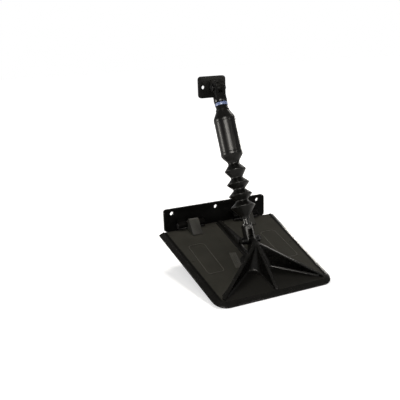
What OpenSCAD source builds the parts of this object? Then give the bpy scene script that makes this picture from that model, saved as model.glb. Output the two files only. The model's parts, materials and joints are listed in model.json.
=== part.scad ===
// Self-adjusting boat trim tab: a ribbed plate hinged to the transom and held down by a gas strut.
// Origin: centre of the hinge plate's transom face. +Y points to the boat, +Z up, aft is -Y.

/* [Trim plate] */
// Width of the plate at its front edge, border included
plate_front_w = 254; // [200:1:320]
// Width of the plate at its rear edge, border included
plate_rear_w = 230; // [180:1:300]
// Distance from the hinge axis to the plate's rear edge
plate_chord = 235; // [210:1:300]
// Thickness of the flat panel
panel_t = 5; // [4:0.5:7]
// Width of the sloping border along the sides and the rear
border_w = 9; // [7:0.5:12]
// Fall of the border from the panel to its lip
border_drop = 3.5; // [2.5:0.5:6]
// Radius of the border's round lip
lip_edge_r = 2; // [1.5:0.25:2.5]
// Outer radius of the rear corners
rear_corner_r = 24; // [18:1:40]
// Angle by which the plate hangs below the transom's normal at rest
droop = 16; // [8:1:22]
// Distance from the hinge axis down to the panel's top
plate_drop = 6; // [5:0.5:9]
// Distance from the hinge axis aft to the plate's front edge outside the tongue
front_setback = 4; // [4:0.5:8]
// How far the tongue between the hinges reaches forward of that edge
tongue_reach = 5; // [2:0.5:6]
// Gap between the tongue and the inner knuckles
tongue_gap = 1; // [0.5:0.5:3]

/* [Ribs and post] */
// Distance from the hinge axis aft to the post
post_aft = 141; // [130:1:160]
// Radius at the top of the post
post_top_r = 7.5; // [6:0.5:9.5]
// Radius at the foot of the post
post_foot_r = 13; // [10:0.5:14]
// Height of the post above the panel
post_h = 41; // [36:0.5:48]
// Radius of the flare round the foot of the post
flare_r = 14; // [6:0.5:16]
// Thickness of the ribs
rib_t = 6; // [4:0.5:8]
// Height of the ribs at the post
rib_h = 40.5; // [30:0.5:44]
// Height of the ribs at their rear ends
rib_end_h = 1.5; // [1:0.5:2]
// Radius of the fillets along the feet of the ribs
rib_fillet_r = 4; // [2:0.5:5]
// Distance from the border at which the diagonal ribs end
rib_end_gap = 7; // [3:1:12]
// Distance from the border at which the middle rib ends
mid_rib_end_gap = 1; // [1:1:12]
// Sideways reach of the diagonal ribs at the rear
rib_spread = 99; // [70:1:100]
// Thickness of the front gusset
gusset_t = 7; // [5:0.5:8]
// Distance from the hinge axis to the front tip of the gusset
gusset_start = 5; // [4:1:20]
// Distance from the hinge axis to the rear face of the gusset
gusset_end = 91; // [80:1:98]
// Height of the gusset at its rear face
gusset_h = 16; // [10:0.5:22]
// Radius of the fillets along the gusset's foot, and height of the keel that joins it to the post
keel_h = 5; // [3:0.5:7]

/* [Hinge plate] */
// Width of the hinge plate
hinge_plate_w = 220; // [180:1:260]
// Height of the hinge plate
hinge_plate_h = 44; // [40:1:60]
// Thickness of the hinge plate
hinge_plate_t = 6; // [5:0.5:8]
// Corner radius of the hinge plate
hinge_corner_r = 5; // [2:0.5:8]
// Diameter of the screw holes in the hinge plate
hinge_screw_d = 8; // [5:0.5:10]
// Distance between neighbouring screw holes
hinge_screw_pitch = 94; // [70:1:96]
// Distance of the screw holes below the top edge
hinge_screw_drop = 9; // [8:0.5:10]
// Distance of the hinge axis behind the transom face
hinge_back = 15; // [14:0.5:20]
// Distance of the hinge axis below the hinge plate's middle
hinge_below = 10; // [6:0.5:12]

/* [Hinges] */
// Distance of each hinge's inner end from the middle
hinge_inner_x = 32; // [20:1:34]
// Length of the inner knuckle
inner_knuckle_w = 16; // [6:0.5:18]
// Width of the hinge leaf
leaf_w = 20; // [16:1:24]
// Length of the outer knuckle
outer_knuckle_w = 18; // [12:1:26]
// Height of the outer knuckles' brackets on the hinge plate, above the hinge axis
outer_knuckle_h = 14; // [8:0.5:15]
// Height of the inner knuckles' brackets on the hinge plate, above the hinge axis
inner_knuckle_h = 7.5; // [7:0.5:15]
// Diameter of the hinge barrel
barrel_d = 13; // [11:0.5:13.5]
// Diameter of the hinge pins
hinge_pin_d = 6; // [4:0.5:7]
// Diameter of the hinge pin heads
hinge_head_d = 9.5; // [8:0.5:11]
// Thickness of the hinge pin heads
hinge_head_t = 2; // [1.5:0.5:3]
// Height of the leaf's hood above the hinge axis
leaf_hood_h = 15; // [9:0.5:16]
// Distance from the hinge axis aft to the top of the leaf's slope
leaf_slope_start = 9; // [7:0.5:12]
// Depth of the hood's flat top, forward of the slope
leaf_hood_t = 5; // [3:0.5:6]
// Thickness of the leaf at its rear end
leaf_toe_t = 1.5; // [1:0.5:3]
// Reach of the leaf aft of the hinge axis
leaf_reach = 32; // [28:1:50]

/* [Upper bracket] */
// Height of the upper pivot above the hinge plate's middle
upper_pivot_z = 246; // [236:1:270]
// Distance of the upper pivot behind the transom face
upper_pivot_back = 27; // [24:0.5:32]
// Width of the bracket plate
bracket_w = 56; // [50:1:70]
// Height of the bracket plate
bracket_h = 40; // [36:1:56]
// Thickness of the bracket plate
bracket_t = 5; // [4:0.5:7]
// Corner radius of the bracket plate
bracket_corner_r = 6; // [3:0.5:9]
// Width of the arched boss behind the bracket's lug
boss_w = 15; // [12:0.5:18]
// Height of the boss's arch above the upper pivot
boss_h = 13.5; // [10:0.5:15]
// Gap between the boss and the upper fork
boss_gap = 2; // [1:0.5:4]
// Diameter of the bracket's screw holes
bracket_screw_d = 7; // [5:0.5:8]
// Distance between the bracket's screw holes
bracket_screw_pitch = 37; // [36:0.5:42]

/* [Pivots] */
// Diameter of both pivot pins
pivot_d = 8; // [6:0.5:9]
// Diameter of the pivot pin heads
pivot_head_d = 11; // [10.5:0.5:14]
// Thickness of the pivot pin heads
pivot_head_t = 3; // [2:0.5:4]
// Width across the flats of the pivot nuts
nut_flats = 12; // [11:0.5:13]
// Thickness of the pivot nuts
nut_t = 4; // [3:0.5:6]
// Length of pin that shows beyond a nut
pin_tail = 1; // [0.5:0.5:3]
// Diameter of the lower pin's washers
washer_d = 13; // [12:0.5:15]
// Thickness of the lower pin's washers
washer_t = 1.2; // [0.8:0.1:2]
// Thickness of the lugs that the forks straddle
lug_t = 8; // [6:0.5:10]
// Radius of the round end of the bracket's lug
bracket_lug_r = 7; // [6.5:0.5:9]
// Radius of the round end of the post's lug
post_lug_r = 8.5; // [8:0.5:10]
// Distance from the hinge axis aft to the lower pivot
lower_pivot_aft = 122; // [114:1:126]
// Height of the lower pivot above the panel
lower_pivot_h = 34.5; // [30:0.5:40]

/* [Forks] */
// Width across the upper fork
upper_fork_w = 19.5; // [18:0.5:26]
// Radius of the upper fork's round end
upper_fork_r = 7.5; // [7:0.5:10]
// Depth of the upper fork's slot from its pivot
upper_fork_slot = 12; // [11:0.5:17]
// Distance from the upper pivot to the end of the upper fork
upper_fork_len = 28; // [25:0.5:32]
// Diameter of the upper fork's collar
collar_d = 25; // [24:0.2:30]
// Thickness of the upper fork's collar
collar_t = 5; // [3:0.5:6]
// Diameter of the spigot that joins the upper fork to the cylinder head
fork_spigot_d = 12; // [8:0.5:14]
// Length of that spigot
fork_spigot_len = 9; // [6:0.5:12]
// Width across the lower fork's prongs
lower_fork_w = 17; // [16:0.5:22]
// Depth of the lower fork's prongs
lower_fork_depth = 13.5; // [13:0.5:18]
// Depth of the lower fork's slot from its pivot
lower_fork_slot = 20; // [14:0.5:21]
// Distance from the lower pivot to the root of the lower fork's prongs
lower_fork_len = 26.5; // [23:0.5:30]
// Diameter of the round bosses on the lower fork's prongs
fork_boss_d = 12.5; // [12:0.5:16]
// Height of those bosses
fork_boss_t = 5.5; // [2:0.5:7]
// Diameter of the lower fork's neck
neck_d = 11; // [10.5:0.5:14]
// Length of the lower fork's neck
neck_len = 15.5; // [12:0.5:20]
// Diameter of the ring at the foot of the neck
neck_ring_d = 18; // [16:0.5:20]
// Thickness of that ring
neck_ring_t = 4; // [2:0.5:5]

/* [Gas strut] */
// Diameter of the cylinder head's neck
head_neck_d = 22; // [20:0.5:24]
// Length of the cylinder head's neck
head_neck_len = 17; // [15:0.5:22]
// Length of the cone between the neck and the tube
head_cone_len = 15.5; // [10:0.5:18]
// Outer diameter of the gas cylinder's tube
tube_d = 36; // [32:0.5:38]
// Wall of the gas cylinder's tube
tube_wall = 3; // [2.5:0.25:4]
// Length of the gas cylinder's tube
tube_len = 64.5; // [62:0.5:80]
// Length of the head's and the gland's spigots inside the tube
spigot_len = 6; // [5:0.5:7]
// Thickness of the gland's flange
gland_flange_t = 4; // [3:0.5:6]
// Length of the gland's nose
gland_nose_len = 9; // [7:0.5:10]
// Diameter at the tip of the gland's nose
gland_nose_d = 14.4; // [14:0.1:14.6]
// Diameter of the piston rod
rod_d = 7.5; // [6.5:0.5:8]
// Thickness of the piston
piston_t = 7; // [6:0.5:8]
// Thickness of the piston ring
piston_ring_t = 3; // [2:0.5:3.5]
// Width across the flats of the piston nut
piston_nut_flats = 13; // [12:0.5:15]
// Thickness of the piston nut
piston_nut_t = 3; // [2.5:0.5:4]
// Diameter of the rod's threaded tail under the piston nut
rod_tail_d = 5; // [4:0.5:6]
// Cross-section of the seal rings
seal_t = 2.5; // [2:0.25:3]
// Length of the rod seal
rod_seal_len = 4; // [3:0.5:5]
// Gap left between the piston and the gland at full extension
end_gap = 1; // [0.5:0.5:2]
// Distance from the fork's collar to the colour band
band_gap = 1.5; // [1:0.5:4]
// Height of the colour band
band_h = 5.5; // [4:0.5:8]
// Thickness of the colour band
band_t = 0.8; // [0.6:0.1:1.5]

/* [Boot] */
// Thickness of the rubber
boot_t = 1.8; // [1.4:0.1:2.2]
// Height of the boot's top lip
boot_lip_h = 3; // [2:0.5:4]
// Height of the bead at each end of the sleeve
bead_h = 6; // [4:0.5:8]
// Depth of the groove inside each bead
bead_groove = 0.8; // [0.4:0.1:1.2]
// Length of the sleeve's lower shoulder
shoulder_len = 14; // [12:0.5:16]
// Outer diameter of the necks between the folds
fold_neck_d = 20; // [19:0.2:21]
// Outer diameter of the first fold
fold_first_d = 39; // [30:0.5:40]
// Outer diameter of the last fold
fold_last_d = 44.5; // [36:0.5:46]
// Length of the first fold
fold_first_len = 28; // [24:0.5:34]
// Length of the plain cone from the last crest to the lower fork
end_cone_len = 19.5; // [16:0.5:24]
// Number of folds
fold_count = 4; // [2:1:5]
// Width of the flat crest of a fold
crest_w = 1.5; // [1:0.5:4]
// Length of the lower fork's neck that the boot grips
boot_grip = 3; // [2:0.5:6]

/* [Fits] */
// Radial clearance of pins and shafts in their bores
fit = 0.05; // [0.02:0.01:0.1]
// Side clearance between pieces that move past each other
side_gap = 0.3; // [0.2:0.05:0.5]
// Radial clearance of the lower pin in the post's lug
loose_fit = 1; // [0.9:0.05:1.5]
// Clearance between the rubber boot and what it covers
boot_gap = 0.3; // [0.2:0.05:0.5]

/* [Hidden] */
$fn = 64;

// Small overlap that joins the solids of one piece
eps = 0.01;
// Overshoot of the cutters past the faces that they cut
over = 1;
// Corner facets of the plate's outline
arc_steps = 12;
// Depth by which raised features are rooted in the panel
root = 1;
// Angle by which the border's corners run on into its straight stretches
corner_lap = 4;
// Step of the faces where the panel, the border and the border's corners meet
seam = 0.05;

// Hinge axis and panel faces
hinge_y = -hinge_back;
hinge_z = -hinge_below;
panel_top = -plate_drop;
panel_mid = panel_top - panel_t / 2;
panel_bottom = panel_top - panel_t;

// Plan of the plate: sides that close in towards the rear
taper = atan((plate_front_w - plate_rear_w) / 2 / plate_chord);
corner_aft = plate_chord - rear_corner_r;
corner_x = plate_front_w / 2 - corner_aft * tan(taper) - rear_corner_r / cos(taper);
front_crease_x = plate_front_w / 2 - front_setback * tan(taper) - border_w / cos(taper);
bend_r = rear_corner_r - border_w;
lip_turn = atan(border_drop / border_w);
tongue_x = hinge_inner_x - tongue_gap;
tongue_start = front_setback - tongue_reach;

// Lower pivot in the plate's own frame and in the part's frame
lower_pivot_up = panel_top + lower_pivot_h;
lower_pivot_y = hinge_y - lower_pivot_aft * cos(droop) - lower_pivot_up * sin(droop);
lower_pivot_z = hinge_z - lower_pivot_aft * sin(droop) + lower_pivot_up * cos(droop);

// Line of the gas strut, from the upper pivot to the lower one
upper_pivot_y = -upper_pivot_back;
strut_run = upper_pivot_y - lower_pivot_y;
strut_rise = upper_pivot_z - lower_pivot_z;
strut_tilt = atan(strut_run / strut_rise);
strut_len = sqrt(pow(strut_run, 2) + pow(strut_rise, 2));

// Places along the strut, measured from the upper pivot
fork_gap = lug_t + 2 * side_gap;
cone_start = upper_fork_len + head_neck_len;
tube_start = cone_start + head_cone_len;
tube_end = tube_start + tube_len;
tube_bore = tube_d - 2 * tube_wall;
gland_tip = tube_end + gland_flange_t + gland_nose_len;
piston_end = tube_end - spigot_len - end_gap;
piston_start = piston_end - piston_t;
band_start = upper_fork_len + band_gap;
fork_root = strut_len - lower_fork_len;
neck_start = fork_root - neck_len;
rod_end = fork_root - neck_ring_t;

// Boot radii and places along the strut
sleeve_inner_r = tube_d / 2 + boot_gap;
sleeve_r = sleeve_inner_r + boot_t;
lip_inner_r = head_neck_d / 2 + boot_gap;
lip_r = lip_inner_r + boot_t;
cone_shift = tan(atan((tube_d - head_neck_d) / 2 / head_cone_len) / 2);
boot_start = cone_start - boot_lip_h;
sleeve_start = tube_start - (boot_gap + boot_t) * cone_shift;
sleeve_end = tube_end + gland_flange_t;
bellows_start = sleeve_end + shoulder_len;
bellows_end = neck_start + boot_grip;
boot_end_r = neck_d / 2 + boot_gap + boot_t;
fold_room = neck_start - end_cone_len - bellows_start - fold_first_len;
fold_len = fold_room / (fold_count - 1.5);

// Hinge stations, measured out from the middle
leaf_x = hinge_inner_x + inner_knuckle_w + side_gap;
outer_knuckle_x = leaf_x + leaf_w + side_gap;
hinge_outer_x = outer_knuckle_x + outer_knuckle_w;

// Pivot pin lengths, measured from the middle to where the head seats
upper_pin_seat = upper_fork_w / 2 + side_gap;
lower_pin_seat = lower_fork_w / 2 + fork_boss_t + washer_t;

// Colours of the finishes
composite = [0.07, 0.07, 0.065];
gloss_black = [0.03, 0.03, 0.03];
rubber_black = [0.05, 0.05, 0.048];
leaf_grey = [0.16, 0.16, 0.15];
steel = [0.7, 0.71, 0.72];
band_blue = [0.5, 0.6, 0.83];

// Points of an arc about a centre
function arc(centre, radius, from, to) = [
    for (i = [0:arc_steps]) let (a = from + (to - from) * i / arc_steps)
        [centre[0] + radius * cos(a), centre[1] + radius * sin(a)]
];

// Place along the strut of a fold's upper neck, of its crest, and the radius of its crest
function fold_at(i) = bellows_start + (i == 0 ? 0 : fold_first_len + (i - 1) * fold_len);
function fold_middle(i) = fold_at(i) + (i == 0 ? fold_first_len : fold_len) / 2;
function fold_r(i) = (fold_first_d + (fold_last_d - fold_first_d) * i / (fold_count - 1)) / 2;

// Outer line of the folds, from the first neck to the grip on the lower fork
function fold_line(inset) = [
    for (i = [0:fold_count - 1]) each [
        [fold_neck_d / 2 - inset, fold_at(i)],
        [fold_r(i) - inset, fold_middle(i) - crest_w / 2],
        [fold_r(i) - inset, fold_middle(i) + crest_w / 2]
    ]
];

// Reversed list
function flip(points) = [for (i = [len(points) - 1:-1:0]) points[i]];

// Frame of the tab: hinge axis at the origin, plate level, aft along -Y
module on_tab() {
    translate([0, hinge_y, hinge_z]) rotate([droop, 0, 0]) children();
}

// Frame of the strut: upper pivot at the origin, lower pivot along +Z
module on_strut() {
    translate([0, upper_pivot_y, upper_pivot_z]) rotate([180 - strut_tilt, 0, 0]) children();
}

// Child drawn in the Y-Z plane and thickened about the middle along X
module slab_x(thickness) {
    translate([-thickness / 2, 0, 0]) rotate([90, 0, 90]) linear_extrude(thickness) children();
}

// Round bar along X between two stations
module bar_x(from, to, d) {
    translate([from, 0, 0]) rotate([0, 90, 0]) cylinder(d = d, h = to - from);
}

// Tube with flat ends along Z
module ring(from, to, outer_d, inner_d) {
    translate([0, 0, from]) difference() {
        cylinder(d = outer_d, h = to - from);
        translate([0, 0, -eps]) cylinder(d = inner_d, h = to - from + 2 * eps);
    }
}

// Upright plate with round corners, standing on the transom plane
module transom_board(width, height, thickness, corner_r) {
    rotate([90, 0, 0]) linear_extrude(thickness) {
        square([width - 2 * corner_r, height], center = true);
        square([width, height - 2 * corner_r], center = true);
        for (sx = [-1, 1], sz = [-1, 1])
            translate([sx * (width / 2 - corner_r), sz * (height / 2 - corner_r)]) circle(corner_r);
    }
}

// Screw hole through a board, along Y
module screw_hole(d, depth) {
    rotate([90, 0, 0]) translate([0, 0, -eps]) cylinder(d = d, h = depth + 2 * eps);
}

// Hinge knuckle: barrel and the bracket that carries it on the hinge plate
module plate_knuckle(from, width, height) {
    reach = hinge_back - hinge_plate_t + eps;
    translate([from, hinge_y, hinge_z]) {
        bar_x(0, width, barrel_d);
        rotate([90, 0, 90]) linear_extrude(width)
            polygon([[0, -barrel_d / 2], [reach, -barrel_d / 2], [reach, height], [0, barrel_d / 2]]);
    }
}

// Hinge plate with its screw holes and four knuckles
module hinge_plate() {
    color(composite) difference() {
        union() {
            transom_board(hinge_plate_w, hinge_plate_h, hinge_plate_t, hinge_corner_r);
            for (side = [0, 1]) mirror([side, 0, 0]) {
                plate_knuckle(hinge_inner_x, inner_knuckle_w, inner_knuckle_h);
                plate_knuckle(outer_knuckle_x, outer_knuckle_w, outer_knuckle_h);
            }
        }
        for (i = [-1:1])
            translate([i * hinge_screw_pitch, 0, hinge_plate_h / 2 - hinge_screw_drop])
                screw_hole(hinge_screw_d, hinge_plate_t);
        for (side = [0, 1]) mirror([side, 0, 0]) translate([0, hinge_y, hinge_z])
            bar_x(hinge_inner_x - over, hinge_outer_x + over, hinge_pin_d + 2 * fit);
    }
}

// Hinge pin of the right hinge, with its head outboard
module hinge_pin() {
    color(steel) translate([0, hinge_y, hinge_z]) {
        bar_x(hinge_inner_x, hinge_outer_x + eps, hinge_pin_d);
        bar_x(hinge_outer_x, hinge_outer_x + hinge_head_t, hinge_head_d);
    }
}

module left_hinge_pin() { mirror([1, 0, 0]) hinge_pin(); }

module right_hinge_pin() { hinge_pin(); }

// Leaf of the right hinge: knuckle, and a hood over it that slopes down to the panel
module hinge_leaf() {
    barrel_r = barrel_d / 2;
    color(leaf_grey) on_tab() difference() {
        union() {
            bar_x(leaf_x, leaf_x + leaf_w, barrel_d);
            translate([leaf_x, 0, 0]) rotate([90, 0, 90]) linear_extrude(leaf_w) polygon([
                [0, 0], [0, barrel_r], [leaf_hood_t - leaf_slope_start, leaf_hood_h],
                [-leaf_slope_start, leaf_hood_h], [-leaf_reach, panel_top + leaf_toe_t],
                [-leaf_reach, panel_top], [-barrel_r, panel_top], [-barrel_r, -barrel_r / 2]
            ]);
        }
        bar_x(leaf_x - over, leaf_x + leaf_w + over, hinge_pin_d + 2 * fit);
    }
}

module left_hinge_leaf() { mirror([1, 0, 0]) hinge_leaf(); }

module right_hinge_leaf() { hinge_leaf(); }

// Flat panel inside the border, with a round front edge and the tongue between the hinges
module panel() {
    edge_r = panel_t / 2;
    side_x = front_crease_x - root / 2;
    bend = arc([corner_x, corner_aft], bend_r - root / 2, taper + corner_lap, 90 - corner_lap);
    half = concat([
        [tongue_x, tongue_start + edge_r], [tongue_x, front_setback + edge_r],
        [side_x - edge_r * tan(taper), front_setback + edge_r]
    ], bend);
    plan = concat(half, [for (p = flip(half)) [-p[0], p[1]]]);
    translate([0, 0, panel_bottom]) linear_extrude(panel_t) polygon([for (p = plan) [p[0], -p[1]]]);
    translate([0, -tongue_start - edge_r, panel_mid]) bar_x(-tongue_x, tongue_x, panel_t);
    translate([0, -front_setback - edge_r, panel_mid]) bar_x(-side_x, side_x, panel_t);
}

// Cross-section of the border: outward along X from the crease, up along Y from the panel's top
module border_section(inset) {
    lip = arc([border_w - lip_edge_r, -border_drop - lip_edge_r], lip_edge_r - inset, 90 - lip_turn, -90);
    bottom = inset - panel_t;
    polygon(concat([[-root, -inset], [0, -inset]], lip, [[0, bottom], [-root, bottom]]));
}

// Sloping border down both sides, round the rear corners and along the rear edge
module border() {
    side_len = (corner_aft + bend_r * sin(taper) - front_setback) / cos(taper);
    for (side = [0, 1]) mirror([side, 0, 0]) {
        translate([front_crease_x, -front_setback, panel_top]) rotate([0, 0, -taper]) rotate([90, 0, 0])
            linear_extrude(side_len) border_section(seam);
        translate([corner_x, -corner_aft, panel_top]) rotate([0, 0, -90 - corner_lap])
            rotate_extrude(angle = 90 - taper + 2 * corner_lap)
                translate([bend_r, 0]) border_section(2 * seam);
    }
    translate([-corner_x, -corner_aft - bend_r, panel_top]) mirror([0, 1, 0]) rotate([90, 0, 90])
        linear_extrude(2 * corner_x) border_section(seam);
}

// Fillets along both feet of a rib that runs aft along the panel
module rib_foot(thickness, length, radius) {
    half = thickness / 2 + radius;
    rotate([90, 0, 0]) linear_extrude(length) difference() {
        translate([-half, -root]) square([2 * half, radius + root]);
        for (side = [-1, 1]) translate([side * half, radius]) circle(radius);
    }
}

// Rib from the post to a point near the rear border, falling to its end; its fillets stop where it gets low
module rib(end_x, end_gap) {
    run = plate_chord - border_w - end_gap - post_aft;
    length = sqrt(pow(run, 2) + pow(end_x, 2));
    low_end = (length - post_top_r) * (rib_fillet_r - rib_end_h) / (rib_h - rib_end_h);
    translate([0, -post_aft, panel_top]) rotate([0, 0, atan(end_x / run)]) {
        slab_x(rib_t) polygon([
            [0, -root], [0, rib_h], [-post_top_r, rib_h], [-length, rib_end_h], [-length, -root]
        ]);
        rib_foot(rib_t, length - low_end, rib_fillet_r);
    }
}

// Gusset on the middle line, with a low keel rib that joins it to the post
module front_gusset() {
    slab_x(gusset_t) polygon([
        [-gusset_start, panel_top - root], [-gusset_start, panel_top + keel_h],
        [-gusset_end, panel_top + gusset_h], [-gusset_end, panel_top + keel_h],
        [-post_aft, panel_top + keel_h], [-post_aft, panel_top - root]
    ]);
    translate([0, -gusset_start, panel_top]) rib_foot(gusset_t, post_aft - gusset_start, keel_h);
}

// Tapering post with a flared foot
module post() {
    flare_x = post_foot_r - (post_foot_r - post_top_r) * flare_r / post_h + flare_r;
    translate([0, -post_aft, panel_top]) {
        cylinder(r1 = post_foot_r, r2 = post_top_r, h = post_h);
        rotate_extrude() difference() {
            translate([0, -root]) square([flare_x, flare_r + root]);
            translate([flare_x, flare_r]) circle(flare_r);
        }
    }
}

// Lug for the lower fork, standing on the post and reaching forward to the pivot
module post_lug() {
    slab_x(lug_t) {
        translate([-lower_pivot_aft, lower_pivot_up]) circle(post_lug_r);
        polygon([
            [-lower_pivot_aft, lower_pivot_up + post_lug_r],
            [-lower_pivot_aft, lower_pivot_up - post_lug_r],
            [-post_aft + post_foot_r, panel_top - root], [-post_aft, panel_top - root],
            [-post_aft, panel_top + post_h]
        ]);
    }
}

// Plate with its border, post, ribs, gusset and lug
module trim_plate() {
    color(composite) on_tab() difference() {
        union() {
            panel();
            border();
            for (side = [-1, 1]) rib(side * rib_spread, rib_end_gap);
            rib(0, mid_rib_end_gap);
            post();
            post_lug();
            front_gusset();
        }
        translate([0, -lower_pivot_aft, lower_pivot_up]) bar_x(-lug_t, lug_t, pivot_d + 2 * loose_fit);
    }
}

// Bracket plate with its screw holes, its arched boss and the upper pivot lug
module upper_bracket() {
    color(composite) difference() {
        union() {
            translate([0, 0, upper_pivot_z])
                transom_board(bracket_w, bracket_h, bracket_t, bracket_corner_r);
            translate([0, 0, upper_pivot_z]) rotate([90, 0, 0])
                linear_extrude(upper_pivot_back - upper_fork_r - boss_gap) {
                    translate([0, boss_h - boss_w / 2]) circle(d = boss_w);
                    translate([-boss_w / 2, -bracket_lug_r - seam])
                        square([boss_w, boss_h - boss_w / 2 + bracket_lug_r + seam]);
                }
            translate([0, upper_pivot_y, upper_pivot_z]) slab_x(lug_t) {
                circle(bracket_lug_r);
                translate([0, -bracket_lug_r])
                    square([upper_pivot_back - bracket_t + eps, 2 * bracket_lug_r]);
            }
        }
        for (side = [-1, 1]) translate([side * bracket_screw_pitch / 2, 0, upper_pivot_z])
            screw_hole(bracket_screw_d, bracket_t);
        translate([0, upper_pivot_y, upper_pivot_z]) bar_x(-lug_t, lug_t, pivot_d + 2 * fit);
    }
}

// Pivot pin along X with a flat round head at its left end
module pivot_pin(seat, tail) {
    color(steel) {
        bar_x(-seat - pivot_head_t, -seat, pivot_head_d);
        bar_x(-seat - eps, seat + tail, pivot_d);
    }
}

// Hexagon nut on a pivot pin's right end
module pivot_nut(seat) {
    color(steel) difference() {
        translate([seat, 0, 0]) rotate([0, 90, 0]) cylinder(d = nut_flats / cos(30), h = nut_t, $fn = 6);
        bar_x(seat - over, seat + nut_t + over, pivot_d + 2 * fit);
    }
}

module upper_pivot_pin() { on_strut() pivot_pin(upper_pin_seat, nut_t + pin_tail); }

module upper_pivot_nut() { on_strut() pivot_nut(upper_pin_seat); }

// Fork on the upper pivot, with its collar and the spigot that enters the cylinder head
module upper_fork() {
    color(gloss_black) on_strut() difference() {
        union() {
            bar_x(-upper_fork_w / 2, upper_fork_w / 2, 2 * upper_fork_r);
            translate([-upper_fork_w / 2, -upper_fork_r, 0])
                cube([upper_fork_w, 2 * upper_fork_r, upper_fork_len - collar_t + eps]);
            translate([0, 0, upper_fork_len - collar_t]) cylinder(d = collar_d, h = collar_t);
            cylinder(d = fork_spigot_d, h = upper_fork_len + fork_spigot_len);
        }
        translate([-fork_gap / 2, -collar_d, -collar_d])
            cube([fork_gap, 2 * collar_d, collar_d + upper_fork_slot]);
        bar_x(-upper_fork_w, upper_fork_w, pivot_d + 2 * fit);
    }
}

// Coloured ring round the cylinder head's neck
module colour_band() {
    color(band_blue) on_strut()
        ring(band_start, band_start + band_h, head_neck_d + 2 * (fit + band_t), head_neck_d + 2 * fit);
}

// Head of the gas cylinder: neck, cone and the spigot inside the tube
module cylinder_head() {
    seal_mid = tube_start + spigot_len / 2;
    color(gloss_black) on_strut() difference() {
        rotate_extrude() polygon([
            [0, upper_fork_len], [head_neck_d / 2, upper_fork_len], [head_neck_d / 2, cone_start],
            [tube_d / 2, tube_start], [tube_bore / 2 - fit, tube_start],
            [tube_bore / 2 - fit, tube_start + spigot_len], [0, tube_start + spigot_len]
        ]);
        translate([0, 0, upper_fork_len - eps])
            cylinder(d = fork_spigot_d + 2 * fit, h = fork_spigot_len + fit + eps);
        ring(seal_mid - seal_t / 2 - fit, seal_mid + seal_t / 2 + fit,
            tube_bore + over, tube_bore - 2 * seal_t);
    }
}

// Seal ring in the groove of a spigot
module spigot_seal(middle) {
    color(rubber_black) on_strut()
        ring(middle - seal_t / 2, middle + seal_t / 2, tube_bore - 2 * fit, tube_bore - 2 * seal_t + 2 * fit);
}

module head_seal() { spigot_seal(tube_start + spigot_len / 2); }

module gland_seal() { spigot_seal(tube_end - spigot_len / 2); }

// Tube of the gas cylinder
module gas_cylinder() {
    color(gloss_black) on_strut() ring(tube_start, tube_end, tube_d, tube_bore);
}

// Gland that closes the tube and guides the rod
module cylinder_gland() {
    seal_mid = tube_end - spigot_len / 2;
    flange_end = tube_end + gland_flange_t;
    color(gloss_black) on_strut() difference() {
        rotate_extrude() polygon([
            [rod_d / 2 + fit, tube_end - spigot_len], [tube_bore / 2 - fit, tube_end - spigot_len],
            [tube_bore / 2 - fit, tube_end], [tube_d / 2, tube_end], [tube_d / 2, flange_end],
            [gland_nose_d / 2, gland_tip], [rod_d / 2 + fit, gland_tip]
        ]);
        ring(seal_mid - seal_t / 2 - fit, seal_mid + seal_t / 2 + fit,
            tube_bore + over, tube_bore - 2 * seal_t);
        translate([0, 0, tube_end]) cylinder(d = rod_d + 2 * (seal_t + fit), h = rod_seal_len + fit);
    }
}

// Lip seal round the rod, inside the gland
module rod_seal() {
    color(rubber_black) on_strut()
        ring(tube_end + fit, tube_end + rod_seal_len, rod_d + 2 * seal_t, rod_d + 2 * fit);
}

// Wide upper half of the rubber boot, with a bead at each end of the sleeve
module boot_sleeve() {
    neck_r = fold_neck_d / 2;
    groove_r = sleeve_r - bead_groove;
    color(rubber_black) on_strut() rotate_extrude() polygon([
        [lip_inner_r, boot_start], [lip_r, boot_start],
        [lip_r, cone_start - (boot_gap + boot_t) * cone_shift],
        [sleeve_r, sleeve_start], [sleeve_r, sleeve_start + bead_h],
        [groove_r, sleeve_start + bead_h + bead_groove], [sleeve_r, sleeve_start + bead_h + 2 * bead_groove],
        [sleeve_r, sleeve_end - bead_h - 2 * bead_groove], [groove_r, sleeve_end - bead_h - bead_groove],
        [sleeve_r, sleeve_end - bead_h], [sleeve_r, sleeve_end + boot_gap],
        [neck_r, bellows_start], [neck_r - boot_t, bellows_start],
        [sleeve_inner_r, sleeve_end + boot_gap], [sleeve_inner_r, tube_start - boot_gap * cone_shift],
        [lip_inner_r, cone_start - boot_gap * cone_shift]
    ]);
}

// Folded lower half of the rubber boot, gripping the lower fork's neck
module boot_bellows() {
    inner_end_r = boot_end_r - boot_t;
    outer = concat(fold_line(0), [[boot_end_r, neck_start], [boot_end_r, bellows_end]]);
    inner = concat(fold_line(boot_t), [[inner_end_r, neck_start], [inner_end_r, bellows_end]]);
    color(rubber_black) on_strut() rotate_extrude() polygon(concat(outer, flip(inner)));
}

// Piston on the end of the rod, with a groove for its ring
module piston() {
    middle = (piston_start + piston_end) / 2;
    color(steel) on_strut() difference() {
        ring(piston_start, piston_end, tube_bore - 4 * fit, rod_tail_d + 2 * fit);
        ring(middle - piston_ring_t / 2 - fit, middle + piston_ring_t / 2 + fit,
            tube_bore, tube_bore - 2 * seal_t);
    }
}

// Ring that seals the piston in the tube
module piston_ring() {
    middle = (piston_start + piston_end) / 2;
    color(rubber_black) on_strut() ring(middle - piston_ring_t / 2, middle + piston_ring_t / 2,
        tube_bore - 2 * fit, tube_bore - 2 * seal_t + 2 * fit);
}

// Nut that holds the piston on the rod
module piston_nut() {
    color(steel) on_strut() difference() {
        translate([0, 0, piston_start - piston_nut_t])
            cylinder(d = piston_nut_flats / cos(30), h = piston_nut_t, $fn = 6);
        translate([0, 0, piston_start - piston_nut_t - over])
            cylinder(d = rod_tail_d + 2 * fit, h = piston_nut_t + 2 * over);
    }
}

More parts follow.
